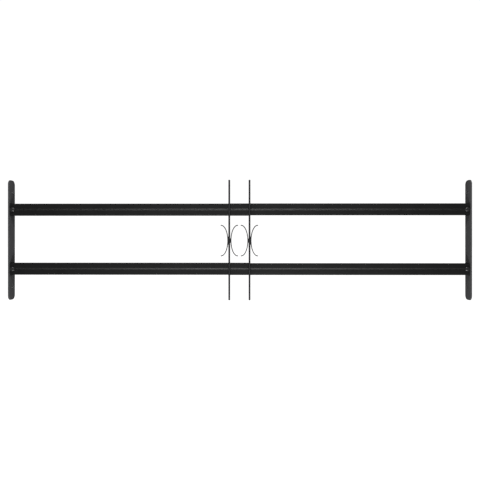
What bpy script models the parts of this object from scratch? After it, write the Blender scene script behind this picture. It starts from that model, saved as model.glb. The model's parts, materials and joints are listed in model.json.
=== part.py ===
"""Telescopic window security bar: two halves that slide into each other between the jambs of a window.

Each half is an end plate with two steel channels, an upright and two scrolls. The fixed half's channels are
the outer ones, and the sliding half's channels run inside them, mouth to mouth. Metres, X along the bars,
-Y to the front, Z up. The origin is the middle of the left end plate's outer face.
"""

import math

import bmesh
import bpy
from mathutils import Euler, Matrix, Vector

# Overall
OVERALL_WIDTH = 1.166          # outer face to outer face, at the length modelled
GAP = 0.0003                   # left between neighbouring pieces

# End plates
PLATE_THICKNESS = 0.003
PLATE_DEPTH = 0.032
PLATE_HEIGHT = 0.304
PLATE_CORNER = 0.0115
PLATE_HOLE_RADIUS = 0.003
PLATE_HOLE_INSET = 0.0302      # hole centre to the nearer end of the plate
PLATE_HOLE_Y = 0.0045
PLATE_EDGE = 0.0004

# Bars, as the outer channels' section
BAR_SPACING = 0.150
BAR_MID_Z = 0.002              # the pair of bars sits a little above the plates' middle
BAR_DEPTH = 0.025
BAR_HEIGHT = 0.0296
SHEET = 0.0008
BEND_RADIUS = 0.0015
BEND_STEPS = 4
RIB_DEPTH = 0.001              # the rolled groove along the middle of each flange
RIB_HALF_HEIGHT = 0.002
SLIDE_CLEARANCE = 0.0005       # each side, between the outer and the inner channels' flanges
INNER_WEB_PROUD = 0.0006       # the inner channel's web over the outer channel's flange tips

# Uprights
UPRIGHT_OFFSET = 0.0254        # each side of the middle between the two
UPRIGHTS_ASIDE = 0.0004        # from the middle of the overall width, to the right
UPRIGHT_RADIUS = 0.0023
UPRIGHT_HEIGHT = 0.302
CHANNEL_TIP = 0.002            # a channel's tip beyond the middle of its upright

# Spacers and hooks between the bars and the uprights
STRAP_WIDTH = 0.0036
STRAP_THICKNESS = 0.0012
STRAP_LENGTH = 0.011
HOOK_REACH = 0.013

# Scrolls
SCROLL_MID_Z = -0.0015
SCROLL_STRIP = 0.0022
SCROLL_DEPTH = 0.006
SCROLL_HALF_WIDTH = 0.0167
SCROLL_HALF_HEIGHT = 0.0383
SCROLL_SWEEP = math.radians(94)
SCROLL_STEPS = 28
SCROLL_INNER_STANDOFF = 0.0005  # extra room at the scrolls that face each other

# Stubs inside the bars' ends, and the rivets through them
STUB_LENGTH = 0.015
STUB_WALL = 0.0012
STUB_CORNER = 0.0015
BORE_CUTTER_LENGTH = 0.010     # reaches through the bar's and the stub's front walls alone
RIVET_INSET = 0.0069           # from the end plate's inner face
RIVET_HEAD_RADIUS = 0.0062
RIVET_HEAD_HEIGHT = 0.004
RIVET_RIM = 0.0006
RIVET_SHANK_RADIUS = 0.0025
RIVET_BORE_RADIUS = 0.0029
RIVET_TAIL_RADIUS = 0.004
RIVET_TAIL_HEIGHT = 0.0016
RIVET_SEGMENTS = 32

CHARCOAL = (0.012, 0.012, 0.013, 1.0)
IRON_GREY = (0.055, 0.056, 0.058, 1.0)

# Worked out from the above
UPRIGHTS_MIDDLE_X = OVERALL_WIDTH / 2 + UPRIGHTS_ASIDE
UPPER_Z = BAR_MID_Z + BAR_SPACING / 2
LOWER_Z = BAR_MID_Z - BAR_SPACING / 2
HALF_BAR = BAR_HEIGHT / 2
OUTER_FLANGE_Y = BAR_DEPTH / 2
INNER_FLANGE_Y = OUTER_FLANGE_Y - SHEET - SLIDE_CLEARANCE
RIB_SLOPE = RIB_DEPTH / RIB_HALF_HEIGHT
RIB_INWARD = RIB_DEPTH + SHEET * math.hypot(1, RIB_SLOPE)  # from a flange's face to its rib's inside
STRAP_FRONT_Y = -OUTER_FLANGE_Y - GAP - STRAP_THICKNESS
UPRIGHT_Y = STRAP_FRONT_Y - GAP - UPRIGHT_RADIUS
LEFT_UPRIGHT_X = UPRIGHTS_MIDDLE_X - UPRIGHT_OFFSET
RIGHT_UPRIGHT_X = UPRIGHTS_MIDDLE_X + UPRIGHT_OFFSET

# Each bar's height, and which way is outward, away from the other bar
BARS = {"upper": (UPPER_Z, 1), "lower": (LOWER_Z, -1)}

IN_YZ = Euler((math.radians(90), 0, math.radians(90)))  # local X, Y and Z become Y, Z and X
IN_XZ = Euler((math.radians(90), 0, 0))                 # local X, Y and Z become X, Z and -Y

for old in list(bpy.data.objects):
    bpy.data.objects.remove(old, do_unlink=True)


def collection(name):
    made = bpy.data.collections.new(name)
    bpy.context.scene.collection.children.link(made)
    return made


PARTS = collection("window_security_bar")
CUTTERS = collection("cutters")


def empty(name, x):
    frame = bpy.data.objects.new(name, None)
    frame.location = (x, 0, 0)
    frame.empty_display_size = 0.03
    PARTS.objects.link(frame)
    return frame


FIXED_HALF = empty("fixed_half", 0)
SLIDING_HALF = empty("sliding_half", OVERALL_WIDTH)  # on the line that this half slides along


def finish_part(part, half, colour, roughness):
    """Parents the part to its half, where it is, and gives it a material of its own."""
    part.parent = half
    part.matrix_parent_inverse = Matrix.Translation(-half.location)
    material = bpy.data.materials.new(part.name)
    material.use_nodes = True
    shader = material.node_tree.nodes["Principled BSDF"]
    shader.inputs["Base Color"].default_value = colour
    shader.inputs["Roughness"].default_value = roughness
    material.diffuse_color = colour
    part.data.materials.append(material)


def flat_outline(name, outlines, thickness, location, turn, edge=0.0):
    """A plate of the given thickness: the first outline is its edge and any others are its holes."""
    curve = bpy.data.curves.new(name, "CURVE")
    curve.dimensions = "2D"
    curve.fill_mode = "BOTH"
    curve.extrude = thickness / 2 - edge
    curve.bevel_depth = edge
    curve.bevel_resolution = 1
    curve.offset = -edge
    for points in outlines:
        spline = curve.splines.new("POLY")
        spline.points.add(len(points) - 1)
        for point, (x, y) in zip(spline.points, points):
            point.co = (x, y, 0, 1)
        spline.use_cyclic_u = True
    part = bpy.data.objects.new(name, curve)
    part.location = location
    part.rotation_euler = turn
    PARTS.objects.link(part)
    return part


def as_mesh(part):
    """The same object as a closed mesh, for cutting."""
    bpy.context.view_layer.update()
    evaluated = part.evaluated_get(bpy.context.evaluated_depsgraph_get())
    mesh = bpy.data.meshes.new_from_object(evaluated)
    shape = bmesh.new()
    shape.from_mesh(mesh)
    bmesh.ops.remove_doubles(shape, verts=shape.verts, dist=0.00001)
    shape.to_mesh(mesh)
    shape.free()
    name, placed = part.name, part.matrix_world.copy()
    bpy.data.objects.remove(part, do_unlink=True)
    made = bpy.data.objects.new(name, mesh)
    made.matrix_world = placed
    PARTS.objects.link(made)
    return made


def arc(centre, radius, start, end, steps):
    """Points of a round stretch, angles in degrees."""
    turns = [math.radians(start + (end - start) * n / steps) for n in range(steps + 1)]
    return [(centre[0] + radius * math.cos(t), centre[1] + radius * math.sin(t)) for t in turns]


def rounded_rectangle(width, height, radius, steps):
    x, y = width / 2 - radius, height / 2 - radius
    corners = ((x, y, 0), (-x, y, 90), (-x, -y, 180), (x, -y, 270))
    return [p for cx, cy, start in corners for p in arc((cx, cy), radius, start, start + 90, steps)]


def bore_cutter(name, x, z, front_y):
    """A wire cylinder that opens a rivet's bore through the front wall alone."""
    shape = bmesh.new()
    bmesh.ops.create_cone(shape, cap_ends=True, segments=RIVET_SEGMENTS, depth=BORE_CUTTER_LENGTH,
                          radius1=RIVET_BORE_RADIUS, radius2=RIVET_BORE_RADIUS)
    mesh = bpy.data.meshes.new(name)
    shape.to_mesh(mesh)
    shape.free()
    cutter = bpy.data.objects.new(name, mesh)
    cutter.location = (x, front_y, z)
    cutter.rotation_euler = IN_XZ
    cutter.hide_render = True
    cutter.display_type = "WIRE"
    CUTTERS.objects.link(cutter)
    return cutter


def cut(part, cutter):
    boolean = part.modifiers.new("rivet_bore", "BOOLEAN")
    boolean.operation = "DIFFERENCE"
    boolean.solver = "EXACT"
    boolean.object = cutter


def end_plate(name, x, half):
    """A flat bar with rounded ends and two holes for the wall screws."""
    hole_z = PLATE_HEIGHT / 2 - PLATE_HOLE_INSET
    outlines = [rounded_rectangle(PLATE_DEPTH, PLATE_HEIGHT, PLATE_CORNER, 10)]
    for z in (hole_z, -hole_z):
        outlines.append(arc((PLATE_HOLE_Y, z), PLATE_HOLE_RADIUS, 0, 345, 23))
    plate = flat_outline(name, outlines, PLATE_THICKNESS, (x, 0, 0), IN_YZ, PLATE_EDGE)
    finish_part(plate, half, IRON_GREY, 0.45)


def channel_section(flange_y, web_z, tip_z):
    """The outer face of a channel, from the front flange's tip round the web to the back flange's tip."""
    towards_tip = 1 if tip_z > web_z else -1
    bend_z = web_z + towards_tip * BEND_RADIUS
    rib_y = flange_y - RIB_DEPTH
    flange = [(flange_y, tip_z), (flange_y, towards_tip * RIB_HALF_HEIGHT), (rib_y, 0),
              (flange_y, -towards_tip * RIB_HALF_HEIGHT)]
    bend = arc((flange_y - BEND_RADIUS, bend_z), BEND_RADIUS, 0, -90 * towards_tip, BEND_STEPS)
    back = flange + bend
    front = [(-y, z) for y, z in back]
    return front + back[::-1]


def channel(name, section, x_range, z, outward, half):
    """A rolled channel: its outer face drawn along the bar, and the sheet's thickness laid inside it."""
    mesh = bpy.data.meshes.new(name)
    shape = bmesh.new()
    rows = [[shape.verts.new((x, y, outward * w)) for y, w in section] for x in x_range]
    for n in range(len(section) - 1):
        shape.faces.new((rows[0][n], rows[1][n], rows[1][n + 1], rows[0][n + 1]))
    bmesh.ops.recalc_face_normals(shape, faces=shape.faces)
    shape.to_mesh(mesh)
    shape.free()
    web = mesh.polygons[len(section) // 2 - 1]
    facing_out = Vector((0, 0, web.center.z)).dot(web.normal) > 0
    part = bpy.data.objects.new(name, mesh)
    part.location = (0, 0, z)
    PARTS.objects.link(part)
    sheet = part.modifiers.new("sheet", "SOLIDIFY")
    sheet.thickness = SHEET
    sheet.offset = -1 if facing_out else 1
    sheet.use_even_offset = True
    finish_part(part, half, CHARCOAL, 0.4)
    return part


def stub(name, x, z, flange_y, z_range, half):
    """A short tube inside a bar's end, welded to the end plate and riveted to the bar."""
    width = 2 * (flange_y - RIB_INWARD - GAP)
    height = z_range[1] - z_range[0] - 2 * (SHEET + GAP)
    middle_z = z + (z_range[0] + z_range[1]) / 2
    outlines = [rounded_rectangle(width - 2 * wall, height - 2 * wall, STUB_CORNER - wall, BEND_STEPS)
                for wall in (0, STUB_WALL)]
    part = as_mesh(flat_outline(name, outlines, STUB_LENGTH, (x, 0, middle_z), IN_YZ))
    finish_part(part, half, CHARCOAL, 0.4)
    return part


def rivet(name, x, z, flange_y, half):
    """A dome-headed rivet: the head in front of the bar, the tail inside the stub."""
    seat_y = flange_y + GAP
    tail_y = flange_y - RIB_INWARD - GAP - STUB_WALL - GAP
    dome_height = RIVET_HEAD_HEIGHT - RIVET_RIM
    quarter = [math.radians(90 - 90 * n / 8) for n in range(9)]
    outline = [(RIVET_HEAD_RADIUS * math.cos(t), seat_y + RIVET_RIM + dome_height * math.sin(t)) for t in quarter]
    outline[0] = (0, outline[0][1])
    outline += [(RIVET_HEAD_RADIUS, seat_y), (RIVET_SHANK_RADIUS, seat_y), (RIVET_SHANK_RADIUS, tail_y),
                (RIVET_TAIL_RADIUS, tail_y), (RIVET_TAIL_RADIUS, tail_y - RIVET_TAIL_HEIGHT),
                (0, tail_y - RIVET_TAIL_HEIGHT)]
    mesh = bpy.data.meshes.new(name)
    shape = bmesh.new()
    points = [shape.verts.new((radius, 0, along)) for radius, along in outline]
    for first, second in zip(points, points[1:]):
        shape.edges.new((first, second))
    shape.to_mesh(mesh)
    shape.free()
    part = bpy.data.objects.new(name, mesh)
    part.location = (x, 0, z)
    part.rotation_euler = IN_XZ
    PARTS.objects.link(part)
    turned = part.modifiers.new("turned", "SCREW")
    turned.steps = turned.render_steps = RIVET_SEGMENTS
    turned.use_merge_vertices = True
    turned.merge_threshold = 0.00001
    finish_part(part, half, IRON_GREY, 0.3)


def upright(name, x, half):
    """A round rod that crosses both bars in front."""
    curve = bpy.data.curves.new(name, "CURVE")
    curve.dimensions = "3D"
    curve.bevel_depth = UPRIGHT_RADIUS
    curve.bevel_resolution = 6
    curve.use_fill_caps = True
    spline = curve.splines.new("POLY")
    spline.points.add(1)
    for point, z in zip(spline.points, (-UPRIGHT_HEIGHT / 2, UPRIGHT_HEIGHT / 2)):
        point.co = (0, 0, z, 1)
    part = bpy.data.objects.new(name, curve)
    part.location = (x, UPRIGHT_Y, 0)
    PARTS.objects.link(part)
    finish_part(part, half, IRON_GREY, 0.45)


def scroll(name, x, side, standoff, half):
    """A C-shaped strip on edge, its back to the upright; side is +1 where it opens to the right."""
    belly = UPRIGHT_RADIUS + GAP + standoff + SCROLL_STRIP / 2

    def edge_point(turn, offset):
        centre = Vector((belly + SCROLL_HALF_WIDTH * (1 - math.cos(turn)), SCROLL_HALF_HEIGHT * math.sin(turn)))
        along = Vector((SCROLL_HALF_WIDTH * math.sin(turn), SCROLL_HALF_HEIGHT * math.cos(turn))).normalized()
        across = Vector((along.y, -along.x))
        return centre + across * offset

    turns = [SCROLL_SWEEP * (2 * n / SCROLL_STEPS - 1) for n in range(SCROLL_STEPS + 1)]
    hollow_side = [edge_point(t, SCROLL_STRIP / 2) for t in turns]
    back = [edge_point(t, -SCROLL_STRIP / 2) for t in reversed(turns)]
    outline = [(side * x_, z_) for x_, z_ in hollow_side + back]
    part = flat_outline(name, [outline], SCROLL_DEPTH, (x, UPRIGHT_Y, SCROLL_MID_Z), IN_XZ, PLATE_EDGE)
    finish_part(part, half, IRON_GREY, 0.45)


def spacer(name, x, z, half):
    """A small flat piece that keeps the fixed half's upright in line with the other one."""
    outline = rounded_rectangle(STRAP_WIDTH, STRAP_LENGTH, 0.0008, 3)
    part = flat_outline(name, [outline], STRAP_THICKNESS, (x, STRAP_FRONT_Y + STRAP_THICKNESS / 2, z), IN_XZ)
    finish_part(part, half, IRON_GREY, 0.45)


def hook(name, x, z, outward, half):
    """A bent strap from the inner channel's web, over the outer channel's flange tip, to the upright."""
    inside_z = HALF_BAR + INNER_WEB_PROUD + GAP
    outside_z = inside_z + STRAP_THICKNESS
    front, back = STRAP_FRONT_Y, STRAP_FRONT_Y + STRAP_THICKNESS
    bend = STRAP_THICKNESS
    outline = [(back, outside_z - STRAP_LENGTH), (back, inside_z), (front + HOOK_REACH, inside_z),
               (front + HOOK_REACH, outside_z)]
    outline += arc((front + bend, outside_z - bend), bend, 90, 180, 4)
    outline += [(front, outside_z - STRAP_LENGTH)]
    outline = [(y, outward * w) for y, w in outline]
    part = flat_outline(name, [outline], STRAP_WIDTH, (x, 0, z), IN_YZ)
    finish_part(part, half, IRON_GREY, 0.45)


def build_bar(bar, z, outward):
    """One crossbar: its outer and inner channels, and the stubs and rivets at its ends."""
    outer_x = (PLATE_THICKNESS + GAP, RIGHT_UPRIGHT_X + CHANNEL_TIP)
    inner_x = (LEFT_UPRIGHT_X - CHANNEL_TIP, OVERALL_WIDTH - PLATE_THICKNESS - GAP)
    inner_web, inner_tip = HALF_BAR + INNER_WEB_PROUD, -HALF_BAR + SHEET + GAP
    outer = channel(f"{bar}_outer_channel", channel_section(OUTER_FLANGE_Y, -HALF_BAR, HALF_BAR),
                    outer_x, z, outward, FIXED_HALF)
    inner = channel(f"{bar}_inner_channel", channel_section(INNER_FLANGE_Y, inner_web, inner_tip),
                    inner_x, z, outward, SLIDING_HALF)
    ends = (("left", outer, OUTER_FLANGE_Y, (-HALF_BAR, HALF_BAR), FIXED_HALF),
            ("right", inner, INNER_FLANGE_Y, (inner_tip, inner_web), SLIDING_HALF))
    for side, bar_channel, flange_y, section_z, half in ends:
        inset = PLATE_THICKNESS + RIVET_INSET
        stub_inset = PLATE_THICKNESS + GAP + STUB_LENGTH / 2
        rivet_x, stub_x = inset, stub_inset
        if side == "right":
            rivet_x, stub_x = OVERALL_WIDTH - inset, OVERALL_WIDTH - stub_inset
        z_range = sorted(outward * w for w in section_z)
        holder = stub(f"{side}_{bar}_stub", stub_x, z, flange_y, z_range, half)
        bore = bore_cutter(f"{side}_{bar}_rivet_bore", rivet_x, z, -flange_y)
        cut(bar_channel, bore)
        cut(holder, bore)
        rivet(f"{side}_{bar}_rivet", rivet_x, z, flange_y, half)


def build_middle():
    """The uprights with their scrolls, and what carries them on the channels' tips."""
    for side, x, half, facing in (("left", LEFT_UPRIGHT_X, SLIDING_HALF, 1),
                                  ("right", RIGHT_UPRIGHT_X, FIXED_HALF, -1)):
        upright(f"{side}_upright", x, half)
        scroll(f"{side}_upright_inner_scroll", x, facing, SCROLL_INNER_STANDOFF, half)
        scroll(f"{side}_upright_outer_scroll", x, -facing, 0, half)
    for bar, (z, outward) in BARS.items():
        hook(f"{bar}_hook", LEFT_UPRIGHT_X, z, outward, SLIDING_HALF)
        spacer(f"{bar}_spacer", RIGHT_UPRIGHT_X, z + outward * (HALF_BAR - STRAP_LENGTH / 2), FIXED_HALF)


end_plate("left_end_plate", PLATE_THICKNESS / 2, FIXED_HALF)
end_plate("right_end_plate", OVERALL_WIDTH - PLATE_THICKNESS / 2, SLIDING_HALF)
for bar_name, (bar_z, bar_outward) in BARS.items():
    build_bar(bar_name, bar_z, bar_outward)
build_middle()
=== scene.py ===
"""The looks of the telescopic window security bar: rounded sheet steel, welds and powder coat."""

import json
import math

import bmesh
import bpy
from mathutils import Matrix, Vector, noise


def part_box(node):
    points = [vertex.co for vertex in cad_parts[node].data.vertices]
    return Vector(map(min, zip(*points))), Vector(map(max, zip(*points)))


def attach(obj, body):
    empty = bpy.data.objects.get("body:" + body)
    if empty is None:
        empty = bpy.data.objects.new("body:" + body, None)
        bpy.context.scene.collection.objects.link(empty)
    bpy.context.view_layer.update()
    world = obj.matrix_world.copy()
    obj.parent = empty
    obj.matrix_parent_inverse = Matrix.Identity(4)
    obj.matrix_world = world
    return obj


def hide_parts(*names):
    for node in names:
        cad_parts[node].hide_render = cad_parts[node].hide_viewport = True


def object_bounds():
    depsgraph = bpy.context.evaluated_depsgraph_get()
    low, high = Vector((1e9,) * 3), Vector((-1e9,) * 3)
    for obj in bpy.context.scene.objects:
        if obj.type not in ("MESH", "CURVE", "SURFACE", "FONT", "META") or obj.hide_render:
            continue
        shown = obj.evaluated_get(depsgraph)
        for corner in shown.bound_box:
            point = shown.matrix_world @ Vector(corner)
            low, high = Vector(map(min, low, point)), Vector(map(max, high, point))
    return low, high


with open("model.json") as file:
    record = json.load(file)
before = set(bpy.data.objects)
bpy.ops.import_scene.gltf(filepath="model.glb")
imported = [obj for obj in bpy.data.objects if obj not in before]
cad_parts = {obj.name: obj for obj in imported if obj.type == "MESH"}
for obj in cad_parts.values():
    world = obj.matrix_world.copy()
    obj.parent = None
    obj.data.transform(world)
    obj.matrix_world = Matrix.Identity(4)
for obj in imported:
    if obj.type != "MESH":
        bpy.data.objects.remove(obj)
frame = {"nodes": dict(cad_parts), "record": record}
CAD_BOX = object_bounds()

NODES = frame["nodes"]
BODY_OF = {node: body for body, nodes in frame["record"]["behaviour"]["bodies"].items() for node in nodes}

# Sheet steel, in metres
SHEET = 0.0008
BEND_RADIUS = 0.0015
RIB_DEPTH = 0.001
RIB_HALF_HEIGHT = 0.002
RIB_ROUNDING = 0.0007
WAVINESS = 0.00005             # how far a channel's walls dip
WAVES_ALONG = 14               # per metre of the bar's length and height
WAVES_UP = 30
WAVES_APART = 3.1              # so that the front wall doesn't repeat the back
WAVY_DEPTH = 0.003             # how deep behind the outer face points still wave
CHANNEL_STATIONS = 90
BORE_RADIUS = 0.0029
CHANNEL_CUTTER_LENGTH = 0.010
STUB_CUTTER_LENGTH = 0.006
STUB_WALL = 0.0012
STUB_CORNER = 0.0015
PAINTED_EDGE = 0.00025
STRAP_EDGE = 0.0002
MERGE_DISTANCE = 0.000002

# End plates
PLATE_CORNER = 0.0115
PLATE_EDGE = 0.0005
HOLE_RADIUS = 0.003
HOLE_INSET = 0.0302
HOLE_Y = 0.0045
HOLE_SIDES = 48

# Scrolls
SCROLL_STRIP = 0.0022
SCROLL_HALF_WIDTH = 0.0167
SCROLL_HALF_HEIGHT = 0.0383
SCROLL_SWEEP = math.radians(94)
SCROLL_EDGE = 0.0005
SCROLL_STEPS = 72
TIP_STEPS = 3                  # extra rings that round off a scroll's tip
TIP_ROUNDNESS = 3.2
TIP_SETBACK = 0.0004
TIP_STEP = 0.00013

# Uprights
ROD_CHAMFER = 0.0005
ROD_CHAMFER_ROUNDING = 0.3     # of the chamfer
ROD_STATIONS = 12

# Rivets
RIVET_HEAD_HEIGHT = 0.004
RIVET_RIM = 0.0006
RIVET_SHANK_RADIUS = 0.0025
RIVET_TAIL_HEIGHT = 0.0016
RIVET_TAIL_RADIUS = 0.004
RIVET_DOME_STEPS = 14
RIM_STRAIGHT = 0.6             # of the rim's height
RIM_UNDERSIDE = 0.97           # of the head's radius
TAIL_SEAT = 0.94               # of the tail's radius, at its seat, shoulder and end
TAIL_SHOULDER = 0.98
TAIL_END = 0.86
TAIL_SEAT_ROUNDING = 0.0003
TAIL_END_ROUNDING = 0.0004

# Welds between the bars and the end plates: a bead's size is its radius
FILLET_LEG = 0.0013
FILLET_INSET = 0.001
FILLET_RIPPLE = 0.0013
FRONT_BEAD = 0.0011
FRONT_RIPPLE = 0.0014

# Welds between the scrolls and the uprights
SCROLL_WELD_HALVES = {"inner": 0.0055, "outer": 0.0105}
SCROLL_WELD_Y = 0.0015         # either side of the rod's middle
SCROLL_WELD_X = 0.0026
SCROLL_BEAD = 0.0013
SCROLL_RIPPLE = 0.0016

# Welds on the hooks and spacers
STRAP_BEAD = 0.0005
STRAP_RIPPLE = 0.0009
STRAP_BEAD_PROUD = 0.0001
STRAP_BEAD_LOW = 0.002         # its ends, above the strap's lower end
STRAP_BEAD_HIGH = 0.009
HOOK_BEAD = 0.0008
HOOK_RIPPLE = 0.0011

# Every weld
RIPPLE_STEPS = 6
BEAD_SIDES = 14

# Camera and stage
CAMERA_DISTANCE = 1.205        # from the end plates' front edges
CAMERA_ASIDE = 0.010           # to the right of the middle
CAMERA_TURN = math.radians(0.385)
LENS = 36.0
SENSOR_WIDTH = 36.0
FLOOR_SIZE = 30
FLOOR_DROP = 0.30              # the object hangs between two walls, above the floor
BACKDROP_WHITE = 1.05
STUDIO_GREY = 0.07
FRONT_WATTS = 0.2
HIGH_WATTS = 15
LOW_WATTS = 22
FRONT_BOX_SIZE = (1.6, 1.0)
FRONT_BOX_Y = -2.2
FRONT_BOX_Z = 0.3
TILTED_BOX_SIZE = (1.2, 0.5)
TILTED_BOX_Y = -1.0
TILTED_BOX_Z = 1.3


def smoothed(mesh, angle):
    mesh.shade_smooth()
    mesh.set_sharp_from_angle(angle=math.radians(angle))


def mesh_object(name, shape, angle=32):
    """An object from a bmesh, with its normals facing out."""
    bmesh.ops.recalc_face_normals(shape, faces=shape.faces)
    mesh = bpy.data.meshes.new(name)
    shape.to_mesh(mesh)
    shape.free()
    smoothed(mesh, angle)
    made = bpy.data.objects.new(name, mesh)
    bpy.context.scene.collection.objects.link(made)
    return made


def applied(piece):
    """The piece with its modifiers in its mesh."""
    bpy.context.view_layer.update()
    evaluated = piece.evaluated_get(bpy.context.evaluated_depsgraph_get())
    mesh = bpy.data.meshes.new_from_object(evaluated)
    shape = bmesh.new()
    shape.from_mesh(mesh)
    shape.transform(piece.matrix_world)
    bmesh.ops.remove_doubles(shape, verts=shape.verts, dist=MERGE_DISTANCE)
    name = piece.name
    bpy.data.objects.remove(piece, do_unlink=True)
    return mesh_object(name, shape)


def stands_for(piece, node, material):
    """The piece takes the node's place, rides on its body and takes its slot."""
    piece.data.materials.clear()
    piece.data.materials.append(material)
    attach(piece, BODY_OF[node])
    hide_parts(node)


def rides_with(piece, node, material):
    """A detail, such as a weld, on the same body as the node."""
    piece.data.materials.append(material)
    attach(piece, BODY_OF[node])


# Materials


class Nodes:
    """A material's node tree, with short ways to add to it."""

    def __init__(self, name):
        self.material = bpy.data.materials.new(name)
        self.material.use_nodes = True
        self.tree = self.material.node_tree
        self.shader = self.tree.nodes["Principled BSDF"]
        self.coords = self.add("ShaderNodeTexCoord").outputs["Object"]

    def add(self, kind, **inputs):
        node = self.tree.nodes.new(kind)
        for key, value in inputs.items():
            self.put(node.inputs[key.replace("_", " ")], value)
        return node

    def put(self, socket, value):
        if isinstance(value, bpy.types.NodeSocket):
            self.tree.links.new(value, socket)
        else:
            socket.default_value = value

    def noise(self, scale, detail, roughness):
        return self.add("ShaderNodeTexNoise", Vector=self.coords, Scale=scale, Detail=detail,
                        Roughness=roughness).outputs["Fac"]

    def ranged(self, value, low, high, to_low, to_high):
        node = self.add("ShaderNodeMapRange", Value=value, From_Min=low, From_Max=high,
                        To_Min=to_low, To_Max=to_high)
        return node.outputs["Result"]

    def maths(self, operation, first, second):
        node = self.add("ShaderNodeMath")
        node.operation = operation
        self.put(node.inputs[0], first)
        self.put(node.inputs[1], second)
        return node.outputs["Value"]

    def mixed(self, factor, first, second):
        node = self.add("ShaderNodeMix")
        node.data_type = "RGBA"
        colours = [socket for socket in node.inputs if socket.type == "RGBA"]
        self.put(node.inputs["Factor"], factor)
        self.put(colours[0], first)
        self.put(colours[1], second)
        return next(socket for socket in node.outputs if socket.type == "RGBA")

    def edges(self, radius):
        """0 on flat stretches, up to 1 along edges that stand out."""
        bevel = self.add("ShaderNodeBevel", Radius=radius)
        bevel.samples = 6
        dot = self.add("ShaderNodeVectorMath")
        dot.operation = "DOT_PRODUCT"
        self.put(dot.inputs[0], bevel.outputs["Normal"])
        self.put(dot.inputs[1], self.add("ShaderNodeNewGeometry").outputs["Normal"])
        flat, full_edge = 0.995, 0.85
        return self.ranged(dot.outputs["Value"], flat, full_edge, 0.0, 1.0)


def powder_coat(name, colour, edge_colour, roughness, grain, bump, wear):
    """Stoved powder coat: orange peel, fine speckle, cloudy tone and thinner, paler edges."""
    nodes = Nodes(name)
    cloud_scale, patch_scale, worn_width = 22.0, 160.0, 0.0006
    peel = nodes.noise(1 / grain, 2.0, 0.5)
    speckle = nodes.noise(4 / grain, 2.0, 0.7)
    clouds = nodes.noise(cloud_scale, 4.0, 0.6)
    tone = nodes.ranged(clouds, 0.35, 0.65, 0.93, 1.07)
    flecks = nodes.ranged(speckle, 0.56, 0.72, 0.0, 0.30)
    base = nodes.add("ShaderNodeHueSaturation", Value=tone, Color=(*colour, 1.0)).outputs["Color"]
    base = nodes.mixed(flecks, base, (*edge_colour, 1.0))
    patches = nodes.ranged(nodes.noise(patch_scale, 4.0, 0.7), 0.35, 0.7, 0.15, 1.0)
    worn = nodes.maths("MULTIPLY", nodes.edges(worn_width), patches)
    base = nodes.mixed(nodes.maths("MULTIPLY", worn, wear), base, (*edge_colour, 1.0))
    nodes.put(nodes.shader.inputs["Base Color"], base)
    rough = nodes.maths("ADD", nodes.ranged(clouds, 0.3, 0.7, roughness - 0.04, roughness + 0.04),
                        nodes.ranged(peel, 0.3, 0.7, -0.03, 0.03))
    nodes.put(nodes.shader.inputs["Roughness"], rough)
    height = nodes.maths("ADD", peel, nodes.maths("MULTIPLY", speckle, 0.25))
    bumped = nodes.add("ShaderNodeBump", Strength=bump, Distance=grain * 0.12, Height=height)
    nodes.put(nodes.shader.inputs["Normal"], bumped.outputs["Normal"])
    return nodes.material


BLACK_COAT = powder_coat("black_coat", colour=(0.0042, 0.0042, 0.0045), edge_colour=(0.02, 0.02, 0.021),
                         roughness=0.52, grain=0.0011, bump=0.35, wear=0.5)
GREY_COAT = powder_coat("iron_grey_coat", colour=(0.115, 0.116, 0.119), edge_colour=(0.16, 0.16, 0.165),
                        roughness=0.45, grain=0.0011, bump=0.35, wear=0.3)
ROD_COAT = powder_coat("rod_coat", colour=(0.03, 0.03, 0.032), edge_colour=(0.08, 0.08, 0.083),
                       roughness=0.45, grain=0.0011, bump=0.35, wear=0.3)
RIVET_COAT = powder_coat("rivet_grey", colour=(0.03, 0.03, 0.031), edge_colour=(0.08, 0.08, 0.082),
                         roughness=0.25, grain=0.0016, bump=0.15, wear=0.5)


# Outlines


def arc(centre, radius, start, end, steps):
    turns = [math.radians(start + (end - start) * n / steps) for n in range(steps + 1)]
    return [(centre[0] + radius * math.cos(t), centre[1] + radius * math.sin(t)) for t in turns]


def rounded_rectangle(width, height, radius, steps):
    x, y = width / 2 - radius, height / 2 - radius
    corners = ((x, y, 0), (-x, y, 90), (-x, -y, 180), (x, -y, 270))
    return [p for cx, cy, start in corners for p in arc((cx, cy), radius, start, start + 90, steps)]


def filleted(points, radii, steps=5):
    """An open line with each inner corner rounded to its radius."""
    points = [Vector(p) for p in points]
    line = [points[0]]
    for before, corner, after, radius in zip(points, points[1:], points[2:], radii):
        back, on = (before - corner).normalized(), (after - corner).normalized()
        half = back.angle(on) / 2
        reach = radius / math.tan(half)
        centre = corner + (back + on).normalized() * radius / math.sin(half)
        first, last = corner + back * reach - centre, corner + on * reach - centre
        sweep = first.angle_signed(last)
        for n in range(steps + 1):
            turn = -sweep * n / steps
            cos, sin = math.cos(turn), math.sin(turn)
            line.append(centre + Vector((first.x * cos - first.y * sin, first.x * sin + first.y * cos)))
    return line + [points[-1]]


def offset_line(line, distance):
    """The line moved to its left by the distance."""
    moved = []
    for n, point in enumerate(line):
        back = (point - line[n - 1]).normalized() if n else None
        on = (line[n + 1] - point).normalized() if n + 1 < len(line) else back
        back = back or on
        left = (Vector((-back.y, back.x)) + Vector((-on.y, on.x))).normalized()
        stretch = max(0.5, left.dot(Vector((-on.y, on.x))))
        moved.append(point + left * distance / stretch)
    return moved


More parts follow.
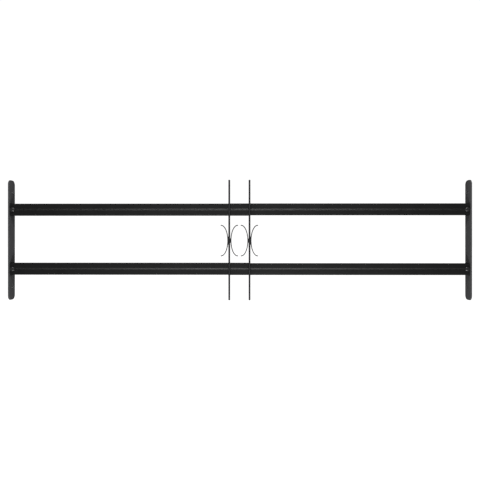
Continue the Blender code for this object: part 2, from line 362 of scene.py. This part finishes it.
def flat_piece(name, outlines, x_range, edge, resolution=2):
    """A plate between two values of x, its outline in Y and Z, with rounded edges."""
    curve = bpy.data.curves.new(name, "CURVE")
    curve.dimensions = "2D"
    curve.fill_mode = "BOTH"
    curve.extrude = (x_range[1] - x_range[0]) / 2 - edge
    curve.bevel_depth = edge
    curve.bevel_resolution = resolution
    curve.offset = -edge
    for points in outlines:
        spline = curve.splines.new("POLY")
        spline.points.add(len(points) - 1)
        for point, (y, z) in zip(spline.points, points):
            point.co = (y, z, 0, 1)
        spline.use_cyclic_u = True
    piece = bpy.data.objects.new(name, curve)
    bpy.context.scene.collection.objects.link(piece)
    piece.location = ((x_range[0] + x_range[1]) / 2, 0, 0)
    piece.rotation_euler = (math.radians(90), 0, math.radians(90))
    return applied(piece)


def turned_piece(name, profile, centre, axis, segments=56):
    """A lathe piece: profile holds (distance along the axis, radius) from end to end."""
    turn = Vector((0, 0, 1)).rotation_difference(Vector(axis))
    shape = bmesh.new()
    rings = []
    for along, radius in profile:
        if radius <= 0:
            rings.append([shape.verts.new(turn @ Vector((0, 0, along)) + Vector(centre))])
            continue
        ring = []
        for n in range(segments):
            angle = 2 * math.pi * n / segments
            point = Vector((radius * math.cos(angle), radius * math.sin(angle), along))
            ring.append(shape.verts.new(turn @ point + Vector(centre)))
        rings.append(ring)
    for ring, after in zip(rings, rings[1:]):
        for n in range(segments):
            m = (n + 1) % segments
            if len(ring) == 1:
                shape.faces.new((ring[0], after[n], after[m]))
            elif len(after) == 1:
                shape.faces.new((ring[n], after[0], ring[m]))
            else:
                shape.faces.new((ring[n], after[n], after[m], ring[m]))
    return mesh_object(name, shape)


def swept(name, rows, angle):
    """A skin over rows of points, each row a closed ring with the same number of points."""
    shape = bmesh.new()
    rings = [[shape.verts.new(p) for p in row] for row in rows]
    count = len(rings[0])
    for ring, after in zip(rings, rings[1:]):
        for n in range(count):
            m = (n + 1) % count
            shape.faces.new((ring[n], after[n], after[m], ring[m]))
    shape.faces.new(rings[0])
    shape.faces.new(rings[-1][::-1])
    return mesh_object(name, shape, angle)


def bored(piece, centre, radius, length):
    """Opens a round bore along Y."""
    shape = bmesh.new()
    bmesh.ops.create_cone(shape, cap_ends=True, segments=48, radius1=radius, radius2=radius, depth=length)
    cutter = mesh_object("bore", shape)
    cutter.location = centre
    cutter.rotation_euler = (math.radians(90), 0, 0)
    bpy.context.view_layer.update()
    cut = piece.modifiers.new("bore", "BOOLEAN")
    cut.operation = "DIFFERENCE"
    cut.solver = "EXACT"
    cut.object = cutter
    made = applied(piece)
    bpy.data.objects.remove(cutter, do_unlink=True)
    return made


# Pieces


def bar_middle(bar):
    lo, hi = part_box(f"{bar}_outer_channel")
    return (lo.z + hi.z) / 2


def rivet_centre(side, bar):
    lo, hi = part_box(f"{side}_{bar}_rivet")
    return (lo + hi) / 2


def end_plate(side):
    node = f"{side}_end_plate"
    lo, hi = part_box(node)
    size = hi - lo
    hole_z = size.z / 2 - HOLE_INSET
    last_turn = 360 - 360 / HOLE_SIDES
    outlines = [rounded_rectangle(size.y, size.z, PLATE_CORNER, steps=20)]
    outlines += [arc((HOLE_Y, z), HOLE_RADIUS, 0, last_turn, HOLE_SIDES - 1) for z in (hole_z, -hole_z)]
    plate = flat_piece(f"{side}_plate_shell", outlines, (lo.x, hi.x), PLATE_EDGE, resolution=3)
    stands_for(plate, node, GREY_COAT)


def channel(bar, kind):
    """A roll-formed channel with rounded bends, a soft rib along each flange and barely wavy walls."""
    node = f"{bar}_{kind}_channel"
    lo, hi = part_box(node)
    web_at_top = (kind == "outer") == (bar == "lower")
    web_z, tip_z = (hi.z, lo.z) if web_at_top else (lo.z, hi.z)
    rib_z, to_tip = bar_middle(bar), -1 if web_at_top else 1
    y, rib_y = hi.y, hi.y - RIB_DEPTH
    back = [(y, tip_z), (y, rib_z + to_tip * RIB_HALF_HEIGHT), (rib_y, rib_z),
            (y, rib_z - to_tip * RIB_HALF_HEIGHT), (y, web_z)]
    line = [(-w, z) for w, z in back] + back[::-1]
    radii = [RIB_ROUNDING] * 3 + [BEND_RADIUS] * 2 + [RIB_ROUNDING] * 3
    outside = filleted(line, radii)
    middle = Vector((0, rib_z))
    inside = offset_line(outside, SHEET)
    if (inside[0] - middle).length > (outside[0] - middle).length:
        inside = offset_line(outside, -SHEET)
    lip = [outside[-1].lerp(inside[-1], 0.5)]
    ring = outside + lip + inside[::-1] + [outside[0].lerp(inside[0], 0.5)]
    rows = []
    for n in range(CHANNEL_STATIONS + 1):
        x = lo.x + (hi.x - lo.x) * n / CHANNEL_STATIONS
        row = []
        for w, z in ring:
            side = 1 if w > 0 else -1
            wave = 0
            if abs(w) > y - WAVY_DEPTH:
                wave = noise.noise(Vector((x * WAVES_ALONG, side * WAVES_APART, z * WAVES_UP))) * WAVINESS
            row.append((x, w - side * abs(wave), z))
        rows.append(row)
    piece = swept(f"{bar}_{kind}_channel_shell", rows, angle=35)
    centre = rivet_centre("left" if kind == "outer" else "right", bar)
    piece = bored(piece, (centre.x, -hi.y, rib_z), BORE_RADIUS, CHANNEL_CUTTER_LENGTH)
    stands_for(piece, node, BLACK_COAT)


def stub(side, bar):
    """The short tube inside a bar's end."""
    node = f"{side}_{bar}_stub"
    lo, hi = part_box(node)
    middle, size = (lo + hi) / 2, hi - lo
    outlines = []
    for wall in (0, STUB_WALL):
        points = rounded_rectangle(size.y - 2 * wall, size.z - 2 * wall, STUB_CORNER - wall, steps=8)
        outlines.append([(y, z + middle.z) for y, z in points])
    piece = flat_piece(f"{side}_{bar}_stub_shell", outlines, (lo.x, hi.x), PAINTED_EDGE)
    centre = rivet_centre(side, bar)
    piece = bored(piece, (centre.x, lo.y, centre.z), BORE_RADIUS, STUB_CUTTER_LENGTH)
    stands_for(piece, node, BLACK_COAT)


def rivet(side, bar):
    """A dome head with a rolled rim, and the formed tail inside the bar."""
    node = f"{side}_{bar}_rivet"
    lo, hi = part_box(node)
    radius = (hi.x - lo.x) / 2
    length = hi.y - lo.y
    dome = RIVET_HEAD_HEIGHT - RIVET_RIM
    profile = []
    for n in range(RIVET_DOME_STEPS + 1):
        turn = math.radians(90 * n / RIVET_DOME_STEPS)
        profile.append((dome * (1 - math.cos(turn)), radius * math.sin(turn)))
    profile += [(dome + RIVET_RIM * RIM_STRAIGHT, radius), (dome + RIVET_RIM, radius * RIM_UNDERSIDE),
                (dome + RIVET_RIM, RIVET_SHANK_RADIUS)]
    tail = length - RIVET_TAIL_HEIGHT
    profile += [
        (tail, RIVET_SHANK_RADIUS),
        (tail, RIVET_TAIL_RADIUS * TAIL_SEAT),
        (tail + TAIL_SEAT_ROUNDING, RIVET_TAIL_RADIUS),
        (length - TAIL_END_ROUNDING, RIVET_TAIL_RADIUS * TAIL_SHOULDER),
        (length, RIVET_TAIL_RADIUS * TAIL_END),
        (length, 0),
    ]
    centre = ((lo.x + hi.x) / 2, lo.y, (lo.z + hi.z) / 2)
    stands_for(turned_piece(f"{side}_{bar}_rivet_body", profile, centre, (0, 1, 0)), node, RIVET_COAT)


def upright(side):
    """A drawn rod with its sawn ends broken."""
    node = f"{side}_upright"
    lo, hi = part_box(node)
    radius, length = (hi.x - lo.x) / 2, hi.z - lo.z
    cut = ROD_CHAMFER
    soft = cut * ROD_CHAMFER_ROUNDING
    profile = [(0, 0), (0, radius - cut), (soft, radius - soft), (cut, radius)]
    profile += [(length * n / ROD_STATIONS, radius) for n in range(1, ROD_STATIONS)]
    profile += [(length - cut, radius), (length - soft, radius - soft), (length, radius - cut), (length, 0)]
    centre = ((lo.x + hi.x) / 2, (lo.y + hi.y) / 2, lo.z)
    stands_for(turned_piece(f"{side}_upright_rod", profile, centre, (0, 0, 1), segments=36), node, ROD_COAT)


def scroll(side, place):
    """A strip on edge, bent to a C along an ellipse, with rounded edges and tips."""
    node = f"{side}_upright_{place}_scroll"
    lo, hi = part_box(node)
    opens_right = (side == "left") == (place == "inner")
    direction = 1 if opens_right else -1
    belly = lo.x + SCROLL_STRIP / 2 if opens_right else hi.x - SCROLL_STRIP / 2
    middle_y, middle_z = (lo.y + hi.y) / 2, (lo.z + hi.z) / 2
    depth = hi.y - lo.y
    section = rounded_rectangle(SCROLL_STRIP, depth, SCROLL_EDGE, steps=4)
    rows = []
    for n in range(-TIP_STEPS, SCROLL_STEPS + TIP_STEPS + 1):
        inner = min(max(n, 0), SCROLL_STEPS)
        turn = SCROLL_SWEEP * (2 * inner / SCROLL_STEPS - 1)
        overrun = inner - n
        narrow = math.sqrt(1 - (abs(overrun) / TIP_ROUNDNESS) ** 2)
        centre = Vector((SCROLL_HALF_WIDTH * (1 - math.cos(turn)), SCROLL_HALF_HEIGHT * math.sin(turn)))
        along = Vector((SCROLL_HALF_WIDTH * math.sin(turn), SCROLL_HALF_HEIGHT * math.cos(turn))).normalized()
        across = Vector((along.y, -along.x))
        pull = -TIP_SETBACK + TIP_STEP * abs(overrun) if inner in (0, SCROLL_STEPS) else 0
        centre = centre + along * (pull if inner == SCROLL_STEPS else -pull)
        depth_share = 0.9 + 0.1 * narrow
        row = []
        for u, v in section:
            flat = centre + across * u * narrow
            row.append((belly + direction * flat.x, middle_y + v * depth_share, middle_z + flat.y))
        rows.append(row)
    stands_for(swept(f"{side}_{place}_scroll_strip", rows, angle=50), node, ROD_COAT)


def weld_bead(name, start, end, size, ripple, node, material):
    """A rippled bead between two points; it thins out at its ends."""
    start, end = Vector(start), Vector(end)
    along = (end - start).normalized()
    aside = along.cross(Vector((0, 0, 1)) if abs(along.z) < 0.9 else Vector((0, 1, 0))).normalized()
    up = along.cross(aside)
    length = (end - start).length
    steps = max(10, round(length / ripple * RIPPLE_STEPS))
    rows = []
    for n in range(steps + 1):
        share = n / steps
        ends = math.sqrt(max(0.02, 1 - abs(2 * share - 1) ** 6))
        wave = 1 + 0.10 * abs(math.sin(math.pi * share * length / ripple)) - 0.05
        jitter = 1 + 0.06 * noise.noise(start * 300 + Vector((share * length * 400, 0, 0)))
        radius = size * ends * wave * jitter
        centre = start.lerp(end, share)
        rows.append([centre + (aside * math.cos(t) + up * math.sin(t)) * radius
                     for t in (2 * math.pi * k / BEAD_SIDES for k in range(BEAD_SIDES))])
    rides_with(swept(name, rows, angle=60), node, material)


def fillet_weld(name, x, z, outward, away, y_range, leg, node, material):
    """A fillet bead in the corner between an end plate and a bar's top or bottom."""
    corner_steps = 8
    length = y_range[1] - y_range[0]
    steps = round(length / FILLET_RIPPLE * RIPPLE_STEPS)
    rows = []
    for n in range(steps + 1):
        share = n / steps
        ends = math.sqrt(max(0.03, 1 - abs(2 * share - 1) ** 8))
        wave = 1 + 0.13 * abs(math.sin(math.pi * share * length / FILLET_RIPPLE)) - 0.06
        jitter = 1 + 0.08 * noise.noise(Vector((x * 7, share * length * 500, z * 9)))
        reach = leg * ends * wave * jitter
        y = y_range[0] + share * length
        row = [(x, y, z)]
        for k in range(corner_steps + 1):
            turn = math.pi / 2 * k / corner_steps
            bulge = 0.62 + 0.38 * abs(math.cos(2 * turn))
            row.append((x + away * reach * math.cos(turn) * bulge, y,
                        z + outward * reach * math.sin(turn) * bulge))
        rows.append(row)
    rides_with(swept(name, rows, angle=60), node, material)


def strap(node, material):
    """A hook or a spacer: its outline is already right, so it only gets its coat and softer edges."""
    body = NODES[node]
    soft = body.modifiers.new("soft_edges", "BEVEL")
    soft.width = STRAP_EDGE
    soft.segments = 2
    soft.limit_method = "ANGLE"
    body.data.materials.clear()
    body.data.materials.append(material)


def build_ends():
    for side, away in (("left", 1), ("right", -1)):
        end_plate(side)
        plate_lo, plate_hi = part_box(f"{side}_end_plate")
        inner_face = plate_hi.x if side == "left" else plate_lo.x
        for bar in ("upper", "lower"):
            stub(side, bar)
            rivet(side, bar)
            lo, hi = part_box(f"{bar}_outer_channel" if side == "left" else f"{bar}_inner_channel")
            for place, z, outward in (("top", hi.z, 1), ("bottom", lo.z, -1)):
                fillet_weld(f"{side}_{bar}_{place}_weld", inner_face, z, outward, away,
                            (lo.y + FILLET_INSET, hi.y - FILLET_INSET), FILLET_LEG,
                            f"{side}_end_plate", BLACK_COAT)
            for place, y in (("front", lo.y), ("back", hi.y)):
                weld_bead(f"{side}_{bar}_{place}_weld", (inner_face, y, lo.z), (inner_face, y, hi.z),
                          FRONT_BEAD, FRONT_RIPPLE, f"{side}_end_plate", BLACK_COAT)


def build_middle():
    for side in ("left", "right"):
        upright(side)
        rod_lo, rod_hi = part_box(f"{side}_upright")
        rod = (rod_lo + rod_hi) / 2
        for place, half_length in SCROLL_WELD_HALVES.items():
            scroll(side, place)
            lo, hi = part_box(f"{side}_upright_{place}_scroll")
            direction = 1 if (lo.x + hi.x) / 2 > rod.x else -1
            z = (lo.z + hi.z) / 2
            for face, y in (("front", rod.y - SCROLL_WELD_Y), ("back", rod.y + SCROLL_WELD_Y)):
                x = rod.x + direction * SCROLL_WELD_X
                weld_bead(f"{side}_{place}_scroll_{face}_weld",
                          (x, y, z - half_length), (x, y, z + half_length),
                          SCROLL_BEAD, SCROLL_RIPPLE, f"{side}_upright", ROD_COAT)


def build_bars():
    for bar in ("upper", "lower"):
        for kind in ("outer", "inner"):
            channel(bar, kind)
        strap(f"{bar}_hook", ROD_COAT)
        strap(f"{bar}_spacer", ROD_COAT)
        for node, rod in ((f"{bar}_hook", "left_upright"), (f"{bar}_spacer", "right_upright")):
            lo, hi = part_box(node)
            y = lo.y - STRAP_BEAD_PROUD
            for place, x in (("left", lo.x), ("right", hi.x)):
                weld_bead(f"{node}_{place}_weld",
                          (x, y, lo.z + STRAP_BEAD_LOW), (x, y, lo.z + STRAP_BEAD_HIGH),
                          STRAP_BEAD, STRAP_RIPPLE, node, ROD_COAT)
        lo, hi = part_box(f"{bar}_hook")
        web_lo, web_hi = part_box(f"{bar}_inner_channel")
        z = web_hi.z if bar == "upper" else web_lo.z
        weld_bead(f"{bar}_hook_web_weld", (lo.x, hi.y, z), (hi.x, hi.y, z),
                  HOOK_BEAD, HOOK_RIPPLE, f"{bar}_hook", BLACK_COAT)


# Camera, light and stage


def make_camera():
    middle = (CAD_BOX[0] + CAD_BOX[1]) / 2
    plate_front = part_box("left_end_plate")[0].y
    data = bpy.data.cameras.new("camera")
    data.lens = LENS
    data.sensor_width = SENSOR_WIDTH
    camera = bpy.data.objects.new("camera", data)
    camera.location = (middle.x + CAMERA_ASIDE, plate_front - CAMERA_DISTANCE, 0)
    camera.rotation_euler = (math.radians(90), 0, CAMERA_TURN)
    bpy.context.scene.collection.objects.link(camera)
    bpy.context.scene.camera = camera


def make_floor():
    middle = (CAD_BOX[0] + CAD_BOX[1]) / 2
    shape = bmesh.new()
    bmesh.ops.create_grid(shape, x_segments=1, y_segments=1, size=FLOOR_SIZE)
    floor = mesh_object("floor", shape)
    floor.location = (middle.x, 0, CAD_BOX[0].z - FLOOR_DROP)
    material = bpy.data.materials.new("pale_floor")
    material.use_nodes = True
    shader = material.node_tree.nodes["Principled BSDF"]
    shader.inputs["Base Color"].default_value = (0.8, 0.8, 0.8, 1)
    shader.inputs["Roughness"].default_value = 0.9
    shader.inputs["Emission Color"].default_value = (1, 1, 1, 1)
    shader.inputs["Emission Strength"].default_value = BACKDROP_WHITE
    floor.data.materials.append(material)
    floor.visible_diffuse = floor.visible_glossy = floor.visible_shadow = False


def make_world():
    """White behind the object as the camera sees it, and a dark studio round it."""
    world = bpy.data.worlds.new("studio")
    bpy.context.scene.world = world
    world.use_nodes = True
    tree = world.node_tree
    tree.nodes.clear()
    output = tree.nodes.new("ShaderNodeOutputWorld")
    studio = tree.nodes.new("ShaderNodeBackground")
    studio.inputs["Color"].default_value = (1, 1, 1, 1)
    studio.inputs["Strength"].default_value = STUDIO_GREY
    white = tree.nodes.new("ShaderNodeBackground")
    white.inputs["Color"].default_value = (1, 1, 1, 1)
    white.inputs["Strength"].default_value = BACKDROP_WHITE
    rays = tree.nodes.new("ShaderNodeLightPath")
    mix = tree.nodes.new("ShaderNodeMixShader")
    tree.links.new(rays.outputs["Is Camera Ray"], mix.inputs[0])
    tree.links.new(studio.outputs["Background"], mix.inputs[1])
    tree.links.new(white.outputs["Background"], mix.inputs[2])
    tree.links.new(mix.outputs["Shader"], output.inputs["Surface"])


def softbox(name, place, aim, size, watts):
    data = bpy.data.lights.new(name, "AREA")
    data.shape = "RECTANGLE"
    data.size, data.size_y = size
    data.energy = watts
    light = bpy.data.objects.new(name, data)
    light.location = place
    light.rotation_mode = "QUATERNION"
    light.rotation_quaternion = (Vector(aim) - Vector(place)).to_track_quat("-Z", "Y")
    light.visible_camera = False
    bpy.context.scene.collection.objects.link(light)


def make_lights():
    middle = (CAD_BOX[0] + CAD_BOX[1]) / 2
    softbox("front_softbox", (middle.x, FRONT_BOX_Y, FRONT_BOX_Z), middle, FRONT_BOX_SIZE, FRONT_WATTS)
    softbox("high_softbox", (middle.x, TILTED_BOX_Y, TILTED_BOX_Z), middle, TILTED_BOX_SIZE, HIGH_WATTS)
    softbox("low_softbox", (middle.x, TILTED_BOX_Y, -TILTED_BOX_Z), middle, TILTED_BOX_SIZE, LOW_WATTS)


bpy.context.scene.view_settings.view_transform = "Standard"
make_camera()
make_floor()
make_world()
make_lights()
build_ends()
build_bars()
build_middle()
